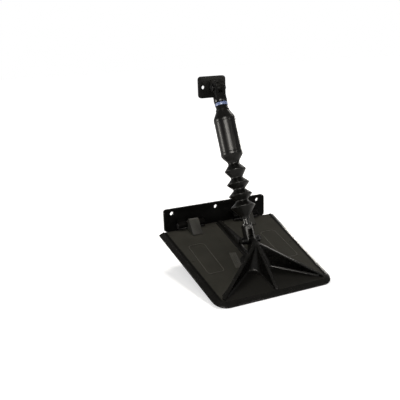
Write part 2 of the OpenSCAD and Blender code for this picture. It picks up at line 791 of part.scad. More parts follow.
// Rod from the piston to the lower fork
module piston_rod() {
    color(steel) on_strut() {
        translate([0, 0, piston_start - piston_nut_t])
            cylinder(d = rod_tail_d, h = piston_t + piston_nut_t + eps);
        translate([0, 0, piston_end]) cylinder(d = rod_d, h = rod_end - piston_end);
    }
}

// Fork on the lower pivot, with the neck that takes the rod
module lower_fork() {
    color(gloss_black) on_strut() difference() {
        union() {
            translate([0, 0, neck_start]) cylinder(d = neck_d, h = neck_len + eps);
            translate([0, 0, fork_root - neck_ring_t]) cylinder(d = neck_ring_d, h = neck_ring_t);
            translate([-lower_fork_w / 2, -lower_fork_depth / 2, fork_root - eps])
                cube([lower_fork_w, lower_fork_depth, lower_fork_len]);
            translate([0, 0, strut_len]) {
                bar_x(-lower_fork_w / 2, lower_fork_w / 2, lower_fork_depth);
                bar_x(-lower_fork_w / 2 - fork_boss_t, lower_fork_w / 2 + fork_boss_t, fork_boss_d);
            }
        }
        translate([-fork_gap / 2, -neck_ring_d, strut_len - lower_fork_slot])
            cube([fork_gap, 2 * neck_ring_d, 2 * neck_ring_d]);
        translate([0, 0, strut_len]) bar_x(-lower_fork_w, lower_fork_w, pivot_d + 2 * fit);
        translate([0, 0, neck_start - eps])
            cylinder(d = rod_d + 2 * fit, h = rod_end + fit - neck_start + eps);
    }
}

module lower_pivot_pin() {
    on_strut() translate([0, 0, strut_len]) pivot_pin(lower_pin_seat, nut_t + pin_tail);
}

module lower_pivot_nut() {
    on_strut() translate([0, 0, strut_len]) pivot_nut(lower_pin_seat);
}

// Washers under the head and the nut of the lower pin
module lower_pin_washers() {
    inner_seat = lower_pin_seat - washer_t;
    color(steel) on_strut() translate([0, 0, strut_len]) for (side = [0, 1]) mirror([side, 0, 0])
        rotate([0, 90, 0]) ring(inner_seat, lower_pin_seat, washer_d, pivot_d + 2 * fit);
}

hinge_plate();
left_hinge_pin();
right_hinge_pin();
upper_bracket();
upper_pivot_pin();
upper_pivot_nut();
trim_plate();
left_hinge_leaf();
right_hinge_leaf();
upper_fork();
colour_band();
cylinder_head();
head_seal();
gas_cylinder();
cylinder_gland();
gland_seal();
rod_seal();
boot_sleeve();
boot_bellows();
piston();
piston_ring();
piston_nut();
piston_rod();
lower_fork();
lower_pivot_pin();
lower_pin_washers();
lower_pivot_nut();
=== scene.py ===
import json
import logging
import math
from collections.abc import Callable, Iterator, Sequence
from contextlib import contextmanager
from dataclasses import dataclass
from enum import Enum

import bpy
from mathutils import Matrix, Vector

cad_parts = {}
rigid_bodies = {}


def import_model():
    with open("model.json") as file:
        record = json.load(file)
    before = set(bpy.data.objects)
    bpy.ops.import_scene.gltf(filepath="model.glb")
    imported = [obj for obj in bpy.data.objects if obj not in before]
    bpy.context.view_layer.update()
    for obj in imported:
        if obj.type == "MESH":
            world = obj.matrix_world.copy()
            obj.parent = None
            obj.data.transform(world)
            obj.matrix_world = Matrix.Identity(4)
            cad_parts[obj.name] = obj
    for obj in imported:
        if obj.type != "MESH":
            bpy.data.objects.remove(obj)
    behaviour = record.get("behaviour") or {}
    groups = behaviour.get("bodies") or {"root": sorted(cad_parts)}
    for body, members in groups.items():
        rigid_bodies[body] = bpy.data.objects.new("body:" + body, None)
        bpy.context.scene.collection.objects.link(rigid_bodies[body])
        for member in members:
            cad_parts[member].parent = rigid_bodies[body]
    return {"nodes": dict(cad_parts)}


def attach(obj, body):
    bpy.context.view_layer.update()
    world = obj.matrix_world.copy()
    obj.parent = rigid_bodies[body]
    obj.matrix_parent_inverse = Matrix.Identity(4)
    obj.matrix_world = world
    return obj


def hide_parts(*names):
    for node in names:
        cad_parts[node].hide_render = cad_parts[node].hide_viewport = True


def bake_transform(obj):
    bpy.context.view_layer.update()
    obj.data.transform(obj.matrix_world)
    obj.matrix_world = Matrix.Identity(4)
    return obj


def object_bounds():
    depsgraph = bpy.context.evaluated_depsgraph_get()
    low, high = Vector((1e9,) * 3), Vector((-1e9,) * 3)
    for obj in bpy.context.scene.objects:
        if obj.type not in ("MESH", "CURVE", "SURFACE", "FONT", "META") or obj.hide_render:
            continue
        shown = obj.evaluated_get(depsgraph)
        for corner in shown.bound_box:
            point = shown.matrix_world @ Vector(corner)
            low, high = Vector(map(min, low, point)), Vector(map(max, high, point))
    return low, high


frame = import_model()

LOG = logging.getLogger("trim_tab")
CAD_BOX = [list(corner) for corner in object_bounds()]
# Metres in a millimetre
MM = 0.001
# Keeps rounding errors out of a comparison or a division
SLIVER = 1e-6
WHITE = (1.0, 1.0, 1.0, 1.0)
Pair = tuple[float, float]
Triple = tuple[float, float, float]
Span = tuple[float, float, float, float]
Link = Callable[..., bpy.types.NodeLink]


class Body(Enum):
    """Rigid bodies of the part."""

    TRANSOM = "transom_side"
    TAB = "tab"
    CYLINDER = "cylinder"
    ROD = "rod"


class Slot(Enum):
    """Material slots of the record."""

    COMPOSITE = "composite"
    LEAF = "leaf_composite"
    GLOSS = "gloss_composite"
    TUBE = "tube_coating"
    BOOT = "boot_rubber"
    SEAL = "seal_rubber"
    PIN = "blackened_steel"
    ROD = "rod_chrome"
    PISTON = "piston_metal"
    BAND = "band_blue"


class Reach(Enum):
    """What a lamp lights: the tones of the surfaces, or the glints on them."""

    TONE = "tone"
    GLINT = "glint"


def ranged(nodes: bpy.types.Nodes, span: Span) -> bpy.types.Node:
    """Adds a Map Range node.

    Args:
        nodes: Nodes of the tree.
        span: Two values that go in, and the two that come out for them.

    Returns:
        The new node.
    """
    made = nodes.new("ShaderNodeMapRange")
    for socket, value in zip(("From Min", "From Max", "To Min", "To Max"), span):
        made.inputs[socket].default_value = value
    return made


@dataclass(frozen=True)
class Finish:
    """A procedural finish: two mottled tones, a range of roughness and a fine surface grain.

    Args:
        slot: Material slot that the finish belongs to.
        dark: Darker tone, linear.
        light: Lighter tone, linear.
        rough: Lowest and highest roughness.
        name: Name of the material where it isn't the slot's.
        specular: Specular level of the shader.
        metallic: Metallic value of the shader.
        mottle: Scale of the tone's mottling, per metre.
        grain: Scale of the surface grain, per metre.
        strength: Strength of the grain's bump.
        depth: Depth of the grain's bump, in metres.
        details: Levels of detail of the mottling and of the grain.
        tone_stops: Values of the mottling that have the darker and the lighter tone.
        rough_stops: Values of the mottling that have the lowest and the highest roughness.
    """

    slot: Slot
    dark: Triple
    light: Triple
    rough: Pair
    name: str = ""
    specular: float = 0.5
    metallic: float = 0.0
    mottle: float = 60.0
    grain: float = 2500.0
    strength: float = 0.3
    depth: float = 0.00005
    details: Pair = (4.0, 2.0)
    tone_stops: Pair = (0.35, 0.68)
    rough_stops: Pair = (0.3, 0.7)

    def material(self) -> bpy.types.Material:
        """Makes the finish's node material.

        Returns:
            The new material.
        """
        made = bpy.data.materials.new(self.name or self.slot.value)
        made.use_nodes = True
        nodes, link = made.node_tree.nodes, made.node_tree.links.new
        shader = nodes["Principled BSDF"]
        shader.inputs["Specular IOR Level"].default_value = self.specular
        shader.inputs["Metallic"].default_value = self.metallic
        place = nodes.new("ShaderNodeTexCoord")
        clouds, specks = nodes.new("ShaderNodeTexNoise"), nodes.new("ShaderNodeTexNoise")
        for noise, scale, detail in zip((clouds, specks), (self.mottle, self.grain), self.details):
            noise.inputs["Scale"].default_value = scale
            noise.inputs["Detail"].default_value = detail
            link(place.outputs["Object"], noise.inputs["Vector"])
        tone = nodes.new("ShaderNodeValToRGB")
        for stop, position, colour in zip(tone.color_ramp.elements, self.tone_stops, (self.dark, self.light)):
            stop.position = position
            stop.color = (*colour, 1.0)
        link(clouds.outputs["Fac"], tone.inputs["Fac"])
        link(tone.outputs["Color"], shader.inputs["Base Color"])
        sheen = ranged(nodes, (*self.rough_stops, *self.rough))
        link(clouds.outputs["Fac"], sheen.inputs["Value"])
        link(sheen.outputs["Result"], shader.inputs["Roughness"])
        bump = nodes.new("ShaderNodeBump")
        bump.inputs["Distance"].default_value = self.depth
        bump.inputs["Strength"].default_value = self.strength
        link(specks.outputs["Fac"], bump.inputs["Height"])
        link(bump.outputs["Normal"], shader.inputs["Normal"])
        return made


@dataclass(frozen=True)
class PaintedShade:
    """Painted shade on part of the panel, bounded by two lines that mirror about the middle plane.

    Args:
        slope: Change of a line's distance from the middle plane with y.
        start: That distance at y = 0, in metres.
        tone: Colour of the painted shade, linear.
        blur: Half width of the change from one tone to the other, in metres.
        outside: Whether the part lies outside the lines and not between them.
    """

    slope: float
    start: float
    tone: Triple
    blur: float
    outside: bool = False

    def paint(self, material: bpy.types.Material) -> None:
        """Paints the shade onto the part.

        Args:
            material: Material of the panel.
        """
        nodes, link = material.node_tree.nodes, material.node_tree.links.new
        place, split = nodes.new("ShaderNodeTexCoord"), nodes.new("ShaderNodeSeparateXYZ")
        side, line, depth = (nodes.new("ShaderNodeMath") for _ in range(3))
        side.operation, line.operation, depth.operation = "ABSOLUTE", "MULTIPLY_ADD", "SUBTRACT"
        line.inputs[1].default_value, line.inputs[2].default_value = self.slope, self.start
        link(place.outputs["Object"], split.inputs["Vector"])
        link(split.outputs["X"], side.inputs[0])
        link(split.outputs["Y"], line.inputs[0])
        link(line.outputs[0], depth.inputs[0])
        link(side.outputs[0], depth.inputs[1])
        edge = -self.blur if self.outside else self.blur
        share, mix = ranged(nodes, (-edge, edge, 0.0, 1.0)), nodes.new("ShaderNodeMixRGB")
        link(depth.outputs[0], share.inputs["Value"])
        link(share.outputs["Result"], mix.inputs["Fac"])
        base = nodes["Principled BSDF"].inputs["Base Color"]
        link(base.links[0].from_socket, mix.inputs["Color1"])
        mix.inputs["Color2"].default_value = (*self.tone, 1.0)
        link(mix.outputs["Color"], base)


FINISHES: tuple[Finish, ...] = (
    Finish(Slot.COMPOSITE, (0.0092, 0.0090, 0.0082), (0.0130, 0.0127, 0.0116), (0.34, 0.42), specular=0.14,
           mottle=60.0, grain=1400.0, strength=0.03),
    # Hinge leaves and studs: the same plastic drawn much lighter than the bracket, as painted light
    Finish(Slot.LEAF, (0.050, 0.0493, 0.0457), (0.064, 0.0631, 0.0584), (0.32, 0.40), specular=0.12,
           mottle=70.0, grain=1600.0, strength=0.12),
    Finish(Slot.GLOSS, (0.0040, 0.0039, 0.0036), (0.0065, 0.0064, 0.0059), (0.20, 0.26), specular=0.40,
           mottle=90.0, grain=700.0, strength=0.03),
    Finish(Slot.TUBE, (0.010, 0.010, 0.010), (0.018, 0.018, 0.018), (0.30, 0.40), mottle=80.0),
    Finish(Slot.BOOT, (0.0048, 0.0047, 0.0040), (0.0072, 0.0070, 0.0061), (0.30, 0.36), specular=0.28,
           mottle=55.0, grain=1100.0, strength=0.05),
    Finish(Slot.SEAL, (0.010, 0.010, 0.010), (0.018, 0.018, 0.018), (0.50, 0.62), mottle=120.0),
    Finish(Slot.PIN, (0.018, 0.018, 0.018), (0.032, 0.032, 0.032), (0.28, 0.42), metallic=1.0,
           mottle=300.0, grain=3000.0, strength=0.15),
    Finish(Slot.ROD, (0.62, 0.63, 0.65), (0.78, 0.79, 0.81), (0.06, 0.12), metallic=1.0,
           mottle=250.0, grain=4000.0, strength=0.05),
    Finish(Slot.PISTON, (0.52, 0.53, 0.54), (0.68, 0.69, 0.70), (0.25, 0.38), metallic=1.0,
           mottle=250.0, grain=3000.0, strength=0.15),
    Finish(Slot.BAND, (0.28, 0.37, 0.68), (0.33, 0.42, 0.74), (0.24, 0.30), specular=0.4,
           mottle=120.0, grain=900.0, strength=0.02),
)
MATERIALS: dict[Slot, bpy.types.Material] = {finish.slot: finish.material() for finish in FINISHES}
# Panel top: the plate's plastic in a lighter tone, which is painted light; its grain is real
GRAIN_LIT: bpy.types.Material = Finish(
    Slot.COMPOSITE, (0.0236, 0.0229, 0.0196), (0.0282, 0.0274, 0.0235), (0.50, 0.58), name="panel_grain_painted_light",
    specular=0.03, mottle=40.0, grain=1300.0, strength=0.22).material()
# Ribs, rim, sides and bay fillets: the same plastic darker, as painted shade, on a smoother surface
SMOOTH_SHADED: bpy.types.Material = Finish(
    Slot.COMPOSITE, (0.0060, 0.0058, 0.0052), (0.0085, 0.0083, 0.0074), (0.23, 0.28), name="smooth_moulding_painted_shade",
    specular=0.22, mottle=60.0, grain=900.0, strength=0.015).material()
# Raised outlines and the pad's base: the same plastic lighter, as a painted highlight
LINE_HIGHLIGHT: bpy.types.Material = Finish(
    Slot.COMPOSITE, (0.0420, 0.0410, 0.0355), (0.0500, 0.0488, 0.0420), (0.40, 0.48), name="raised_line_painted_highlight",
    specular=0.10, mottle=160.0, grain=1300.0, strength=0.10).material()
# Hinge plate: the same plastic near black, as painted shade; its weak shine is a real dull surface
DULL_SHADED: bpy.types.Material = Finish(
    Slot.COMPOSITE, (0.0034, 0.0033, 0.0031), (0.0050, 0.0049, 0.0046), (0.30, 0.40), name="dull_moulding_painted_shade",
    specular=0.05, mottle=60.0, grain=1400.0, strength=0.08).material()


class Bench:
    """Small tools for modelling with operators."""

    @staticmethod
    def clear() -> None:
        """Deselects every object."""
        for other in bpy.context.view_layer.objects:
            other.select_set(False)

    @staticmethod
    def pick(piece: bpy.types.Object) -> None:
        """Selects one object alone and makes it active.

        Args:
            piece: The object.
        """
        Bench.clear()
        piece.select_set(True)
        bpy.context.view_layer.objects.active = piece

    @staticmethod
    @contextmanager
    def editing(piece: bpy.types.Object, mode: str = "VERT", keep: bool = False) -> Iterator[None]:
        """Opens a piece in edit mode, with all of it selected unless the selection is kept.

        Args:
            piece: The object to edit.
            mode: Kind of element that is selected: VERT, EDGE or FACE.
            keep: Whether the kind of element and what is selected stay as they were.

        Returns:
            A context in which the piece is open.
        """
        Bench.pick(piece)
        bpy.ops.object.mode_set(mode="EDIT")
        if not keep:
            bpy.ops.mesh.select_mode(type=mode)
            bpy.ops.mesh.select_all(action="SELECT")
        yield
        bpy.ops.object.mode_set(mode="OBJECT")

    @staticmethod
    def fresh(name: str) -> bpy.types.Object:
        """Names the object that an operator has just added.

        Args:
            name: Its new name.

        Returns:
            The object.
        """
        made = bpy.context.view_layer.objects.active
        made.name = made.data.name = name
        return made

    @staticmethod
    def copied(mesh: bpy.types.Mesh, name: str) -> bpy.types.Object:
        """Makes an object of a mesh's copy.

        Args:
            mesh: The mesh to copy.
            name: Name of the object.

        Returns:
            The new object.
        """
        made = bpy.data.objects.new(name, mesh.copy())
        bpy.context.scene.collection.objects.link(made)
        return made

    @staticmethod
    def draw(line: Sequence[Pair]) -> None:
        """Turns the plane that is open in edit mode into a line.

        Args:
            line: Points of the line as (radius from the axis, place along it), in millimetres.
        """
        bpy.ops.mesh.merge(type="CENTER")
        bpy.ops.transform.translate(value=(line[0][0] * MM, 0.0, line[0][1] * MM))
        for here, after in zip(line, line[1:]):
            step = ((after[0] - here[0]) * MM, 0.0, (after[1] - here[1]) * MM)
            bpy.ops.mesh.extrude_region_move(TRANSFORM_OT_translate={"value": step})

    @staticmethod
    def settle(piece: bpy.types.Object, place: Matrix) -> None:
        """Puts a piece at a place and moves that place into its mesh.

        Args:
            piece: The object.
            place: Its place.
        """
        bpy.context.view_layer.update()
        piece.matrix_world = place @ piece.matrix_world
        Bench.pick(piece)
        bpy.ops.object.transform_apply(location=True, rotation=True, scale=True)

    @staticmethod
    def apply(piece: bpy.types.Object, kind: str, **settings: object) -> None:
        """Adds a modifier and applies it.

        Args:
            piece: The object.
            kind: Kind of modifier.
            settings: Settings of the modifier.
        """
        Bench.pick(piece)
        modifier = piece.modifiers.new(kind.lower(), kind)
        for key, value in settings.items():
            setattr(modifier, key, value)
        bpy.ops.object.modifier_apply(modifier=modifier.name)

    @staticmethod
    def soften(piece: bpy.types.Object, width: float, segments: int = 3, angle: float = 32.0) -> None:
        """Rounds a piece's sharp edges and shades it smooth.

        Args:
            piece: The object to round.
            width: Width of the rounding, in millimetres.
            segments: Number of strips in the rounding.
            angle: Least angle of an edge that is rounded, in degrees.
        """
        Bench.apply(piece, "BEVEL", width=width * MM, segments=segments, limit_method="ANGLE",
                    angle_limit=math.radians(angle), use_clamp_overlap=True)
        Bench.smooth(piece)

    @staticmethod
    def smooth(piece: bpy.types.Object, angle: float = 35.0) -> None:
        """Shades a piece smooth up to an angle between its faces, in degrees."""
        Bench.pick(piece)
        bpy.ops.object.shade_smooth_by_angle(angle=math.radians(angle), keep_sharp_edges=False)

    @staticmethod
    def dress(piece: bpy.types.Object, slot: Slot, body: Body | None, *nodes: str) -> bpy.types.Object:
        """Gives a piece its finish, the body it rides on and the nodes it stands for.

        Args:
            piece: The finished object.
            slot: Its material slot.
            body: Body that it rides on, or None where it rides on none.
            nodes: CAD nodes that it replaces.

        Returns:
            The same object.
        """
        piece.data.materials.clear()
        piece.data.materials.append(MATERIALS[slot])
        if body is not None:
            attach(piece, body.value)
        if nodes:
            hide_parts(*nodes)
        LOG.info("%s: %d faces", piece.name, len(piece.data.polygons))
        return piece


def rounded_line(points: Sequence[Triple], steps: int, most: float = 0.48) -> list[Pair]:
    """Rounds the corners of an open line.

    Args:
        points: Corners as (radius from the axis, place along it, radius of the rounding).
        steps: Number of short lines in each rounding.
        most: Greatest share of a neighbouring side that a rounding takes.

    Returns:
        Points of the rounded line as (radius from the axis, place along it).
    """
    line = [points[0][:2]]
    for before, here, after in zip(points, points[1:], points[2:]):
        corner = Vector(here[:2])
        back, ahead = Vector(before[:2]) - corner, Vector(after[:2]) - corner
        half = back.angle(ahead) / 2
        reach = min(here[2] / max(math.tan(half), SLIVER), most * back.length, most * ahead.length)
        start, end = corner + back.normalized() * reach, corner + ahead.normalized() * reach
        for step in range(steps + 1):
            share = step / steps
            bent = start.lerp(corner, share).lerp(corner.lerp(end, share), share)
            line.append((bent.x, bent.y))
    line.append(points[-1][:2])
    return line


@dataclass(frozen=True)
class Moulding:
    """A CAD node whose copy gets merged faces and rounded edges.

    Args:
        node: Name of the CAD node.
        slot: Material slot of the piece.
        body: Body that it rides on.
        width: Width of the rounding, in millimetres.
        weld: Distance within which its corners are merged, in millimetres.
        flat: Angle up to which neighbouring faces are merged, in degrees.
        angle: Least angle of an edge that is rounded, in degrees.
        finish: Its material where it isn't the slot's.
    """

    node: str
    slot: Slot
    body: Body
    width: float
    weld: float = 0.01
    flat: float = 0.6
    angle: float = 32.0
    finish: bpy.types.Material | None = None

    def build(self) -> bpy.types.Object:
        """Makes the rounded copy.

        Returns:
            The new object.
        """
        piece = Bench.copied(frame["nodes"][self.node].data, self.node + "_rounded")
        with Bench.editing(piece):
            bpy.ops.mesh.remove_doubles(threshold=self.weld * MM)
            bpy.ops.mesh.dissolve_limited(angle_limit=math.radians(self.flat))
        Bench.soften(piece, self.width, angle=self.angle)
        Bench.dress(piece, self.slot, self.body, self.node)
        if self.finish:
            piece.data.materials[0] = self.finish
        return piece


MOULDINGS: tuple[Moulding, ...] = (
    # Darker copies of the plastic on the hinge plate and the plate are painted shade; the leaves' lighter one
    # is painted light
    Moulding("hinge_plate", Slot.COMPOSITE, Body.TRANSOM, 0.9, finish=DULL_SHADED),
    Moulding("upper_bracket", Slot.COMPOSITE, Body.TRANSOM, 0.9),
    Moulding("left_hinge_pin", Slot.PIN, Body.TRANSOM, 0.5),
    Moulding("right_hinge_pin", Slot.PIN, Body.TRANSOM, 0.5),
    Moulding("upper_pivot_pin", Slot.PIN, Body.TRANSOM, 0.7),
    Moulding("upper_pivot_nut", Slot.PIN, Body.TRANSOM, 0.4),
    Moulding("trim_plate", Slot.COMPOSITE, Body.TAB, 0.8, weld=0.12, angle=33.0, finish=SMOOTH_SHADED),
    Moulding("left_hinge_leaf", Slot.LEAF, Body.TAB, 0.8),
    Moulding("right_hinge_leaf", Slot.LEAF, Body.TAB, 0.8),
    Moulding("upper_fork", Slot.GLOSS, Body.CYLINDER, 0.9),
    Moulding("colour_band", Slot.BAND, Body.CYLINDER, 0.3),
    Moulding("cylinder_head", Slot.GLOSS, Body.CYLINDER, 0.5),
    Moulding("lower_fork", Slot.GLOSS, Body.ROD, 1.0),
    Moulding("lower_pivot_pin", Slot.PIN, Body.ROD, 0.7),
    Moulding("lower_pivot_nut", Slot.PIN, Body.ROD, 0.4),
    Moulding("lower_pin_washers", Slot.PIN, Body.ROD, 0.2),
)


@dataclass(frozen=True)
class InnerPart:
    """A CAD node inside the strut, which keeps its own mesh.

    Args:
        node: Name of the CAD node.
        slot: Its material slot.
    """

    node: str
    slot: Slot

    def dress(self) -> None:
        """Gives the node its finish."""
        mesh = frame["nodes"][self.node].data
        mesh.materials.clear()
        mesh.materials.append(MATERIALS[self.slot])
        LOG.info("%s: %s", self.node, self.slot.value)


INNER_PARTS: tuple[InnerPart, ...] = (
    InnerPart("head_seal", Slot.SEAL),
    InnerPart("gland_seal", Slot.SEAL),
    InnerPart("rod_seal", Slot.SEAL),
    InnerPart("piston_ring", Slot.SEAL),
    InnerPart("gas_cylinder", Slot.TUBE),
    InnerPart("cylinder_gland", Slot.TUBE),
    InnerPart("piston", Slot.PISTON),
    InnerPart("piston_nut", Slot.PISTON),
    InnerPart("piston_rod", Slot.ROD),
)


@dataclass
class Strut:
    """Line of the gas strut, from the upper pivot towards the lower one.

    Args:
        pivot: Upper pivot, in millimetres.
        tilt: Angle of the line from the upright, in degrees.
    """

    pivot: Triple = (0.0, -27.0, 246.0)
    tilt: float = 23.33588

    def frame(self) -> Matrix:
        """Frame with its origin at the upper pivot and its Z axis along the strut."""
        turn = Matrix.Rotation(math.radians(180.0 - self.tilt), 4, "X")
        return Matrix.Translation(Vector(self.pivot) * MM) @ turn

    def point(self, along: float) -> Vector:
        """Point on the strut's line at a distance in millimetres from the upper pivot."""
        return self.frame() @ Vector((0.0, 0.0, along * MM))


@dataclass
class Boot:
    """Rubber boot over the gas cylinder: a sleeve with a low lip at each end, and folds below it.

    Args:
        strut: Line that the boot stands on.
        wall: Thickness of the rubber, in millimetres.
        turns: Number of strips round the axis.
        steps: Number of short lines in each rounding.
        weld: Distance within which its corners are merged, in millimetres.
        shade: Greatest angle between faces that are shaded as one, in degrees.
        folds: Ends of the folds along the strut, in millimetres; the points made from them go unused.
        corners: Corners of its outer line as (radius, place along the strut, rounding), in millimetres.
    """

    strut: Strut
    wall: float = 1.0
    turns: int = 96
    steps: int = 6
    weld: float = 0.01
    shade: float = 50.0
    folds: Pair = (143.0, 242.5)
    corners: tuple[Triple, ...] = (
        (11.9, 42.2, 0.0), (12.2, 42.0, 0.3), (12.6, 45.6, 3.0), (18.7, 56.4, 6.0),
        (20.1, 60.6, 3.0), (20.1, 64.5, 1.5), (19.7, 66.0, 2.0),
        (19.7, 122.6, 2.0), (20.1, 124.1, 1.5), (20.1, 128.2, 3.0),
        (18.2, 131.8, 4.0), (11.8, 139.6, 7.0), (10.0, 145.2, 4.0),
        (19.6, 156.3, 0.8), (19.6, 157.5, 0.8), (10.0, 171.0, 3.5),
        (20.5, 181.0, 0.8), (20.5, 182.2, 0.8), (9.8, 192.2, 3.0),
        (21.4, 202.3, 0.8), (21.4, 203.4, 0.8), (9.8, 213.5, 3.0),
        (22.3, 223.4, 1.4), (22.3, 224.8, 1.6), (7.9, 242.4, 4.0), (7.4, 244.2, 1.0),
        (7.3, 246.4, 0.3), (7.0, 246.6, 0.0),
    )

    def build(self) -> None:
        """Spins the boot's line into a closed shell."""
        Bench.clear()
        bpy.ops.mesh.primitive_plane_add(size=self.wall * MM)
        piece = Bench.fresh("boot")
        with Bench.editing(piece):
            Bench.draw(rounded_line(self.corners, self.steps))
            bpy.ops.mesh.select_all(action="SELECT")
            bpy.ops.mesh.spin(steps=self.turns, angle=math.tau, center=(0.0, 0.0, 0.0), axis=(0.0, 0.0, 1.0))
            bpy.ops.mesh.select_all(action="SELECT")
            bpy.ops.mesh.remove_doubles(threshold=self.weld * MM)
            bpy.ops.mesh.normals_make_consistent(inside=False)
        Bench.apply(piece, "SOLIDIFY", thickness=self.wall * MM, offset=-1.0)
        Bench.smooth(piece, self.shade)
        Bench.settle(piece, self.strut.frame())
        Bench.dress(piece, Slot.BOOT, None)
        start, end = (tuple(self.strut.point(along)) for along in self.folds)
        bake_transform(piece)
        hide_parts("boot_sleeve", "boot_bellows")


@dataclass
class TabFrame:
    """Frame of the swinging plate at rest: sideways along X, aft along -Y, upward from the panel along Z.

    Args:
        hinge: Hinge axis, in millimetres.
        droop: Angle by which the plate hangs at rest, in degrees.
        top: Height of the panel's top over the hinge axis, in millimetres.
    """

    hinge: Triple = (0.0, -15.0, -10.0)
    droop: float = 16.0
    top: float = -6.0

    def frame(self) -> Matrix:
        """Frame with its origin on the panel's top, under the hinge axis.

        Returns:
            The frame.
        """
        turn = Matrix.Rotation(math.radians(self.droop), 4, "X")
        drop = Matrix.Translation((0.0, 0.0, self.top * MM))
        return Matrix.Translation(Vector(self.hinge) * MM) @ turn @ drop

    def on_top(self, side: float, aft: float) -> Matrix:
        """Frame at a place on the panel's top, given sideways and aft in millimetres."""
        return self.frame() @ Matrix.Translation((side * MM, -aft * MM, 0.0))


@dataclass
class PanelGrainAndPaintedLight:
    """Grained panel top in a painted-light tone, with painted shade in the bays and along the border.

    Args:
        tab: Frame of the plate.
        slack: Greatest distance of a grained face from the panel's top, in millimetres.
        level: Least upward part of a face's normal for the grained, painted-light tone.
        painted_shades: Painted shade in the bays between the outer ribs and along each side's rim.
    """

    tab: TabFrame
    slack: float = 0.15
    level: float = 0.98
    painted_shades: tuple[PaintedShade, ...] = (
        # Painted shade in the bays between the outer ribs, and a painted shade line inside each side's rim
        PaintedShade(-1.3201, -0.1965, (0.0105, 0.0102, 0.0092), 0.003),
        PaintedShade(0.0531, 0.1139, (0.0040, 0.0039, 0.0036), 0.001, outside=True),
    )

    def dress(self, plate: bpy.types.Object) -> None:
        """Gives the upward panel-top faces the grained, painted-light tone, and paints the shade on it.

        Args:
            plate: The plate.
        """
        for painted_shade in self.painted_shades:
            painted_shade.paint(GRAIN_LIT)
        plate.data.materials.append(GRAIN_LIT)
        into_tab = self.tab.frame().inverted()
        for face in plate.data.polygons:
            place, way = into_tab @ face.center, into_tab.to_3x3() @ face.normal
            # Upward panel-top faces get the painted-light tone, the plate's other faces the painted-shade one
            face.material_index = int(abs(place.z) < self.slack * MM and way.z > self.level)


@dataclass
class BayFillets:
    """Concave fillets between the ribs at the post, widening downward and running out on the panel.

    Args:
        tab: Frame of the plate.
        aft: Place of the post behind the hinge axis, in millimetres.
        spread: Angle of each outer rib from the middle rib, in degrees.
        rib_t: Thickness of a rib, in millimetres.
        corners: Corners of its line from the top as (radius of the fillet, height, rounding), in millimetres.
        sunk: Depth of its foot under the panel's top, in millimetres.
        steps: Number of short lines in each rounding of that line.
        sides: Number of sides of the circle that a fillet is cut from.
        weld: Distance within which its corners are merged, in millimetres.
        shade: Greatest angle between faces that are shaded as one, in degrees.
    """

    tab: TabFrame
    aft: float = 141.0
    spread: float = 51.8
    rib_t: float = 6.0
    corners: tuple[Triple, ...] = ((2.2, 37.0, 0.0), (16.2, 0.15, 9.0), (23.0, 0.08, 0.0))
    sunk: float = 0.5
    steps: int = 10
    sides: int = 180
    weld: float = 0.001
    shade: float = 40.0

    def build(self) -> None:
        """Builds the fillet of each bay."""
        half = math.radians(self.spread / 2)
        corner = Matrix.Translation((self.rib_t / 2 / math.sin(half) * MM, 0.0, 0.0))
        for name, side in (("bay_fillet_left", -1), ("bay_fillet_right", 1)):
            piece = self._fillet(name, half)
            turn = Matrix.Rotation(-math.pi / 2 + side * half, 4, "Z")
            Bench.settle(piece, self.tab.on_top(0.0, self.aft) @ turn @ corner)
            # The fillets take the darker copy of the plastic, as painted shade
            Bench.dress(piece, Slot.COMPOSITE, Body.TAB).data.materials[0] = SMOOTH_SHADED

    def _fillet(self, name: str, half: float) -> bpy.types.Object:
        """Models one fillet with the corner of its two ribs at the origin and the bay along X.

        Args:
            name: Name of the piece.
            half: Half of the angle between the ribs, in radians.

        Returns:
            The new object.
        """
        line = rounded_line(self.corners, self.steps)
        line.append((line[-1][0], -self.sunk))
        radius, top = line[0][0] * MM, line[0][1] * MM
        middle = radius / math.sin(half)
        Bench.clear()
        bpy.ops.mesh.primitive_circle_add(vertices=self.sides, radius=radius, location=(middle, 0.0, top))
        piece = Bench.fresh(name)
        Bench.settle(piece, Matrix.Identity(4))
        with Bench.editing(piece):
            bpy.ops.mesh.select_all(action="DESELECT")
        for corner in piece.data.vertices:
            corner.select = corner.co.x > middle - radius * math.sin(half) + SLIVER
        with Bench.editing(piece, keep=True):
            bpy.ops.mesh.select_mode(type="VERT")
            bpy.ops.mesh.delete(type="VERT")
            bpy.ops.mesh.select_all(action="SELECT")
            for here, after in zip(line, line[1:]):
                self._skirt((after[1] - here[1]) * MM, after[0] / here[0])
            bpy.ops.mesh.select_all(action="DESELECT")
            bpy.ops.mesh.select_non_manifold(extend=False)
            self._skirt(0.0, 0.0)
            bpy.ops.mesh.select_all(action="SELECT")
            bpy.ops.mesh.remove_doubles(threshold=self.weld * MM)
            bpy.ops.mesh.normals_make_consistent(inside=False)
        Bench.smooth(piece, self.shade)
        return piece

    @staticmethod
    def _skirt(lift: float, grow: float) -> None:
        """Extrudes the selected edges by a lift in metres and scales them about the corner of the ribs."""
        bpy.ops.mesh.extrude_edges_move(TRANSFORM_OT_translate={"value": (0.0, 0.0, lift)})
        bpy.ops.transform.resize(value=(grow, grow, 1.0), center_override=(0.0, 0.0, 0.0))


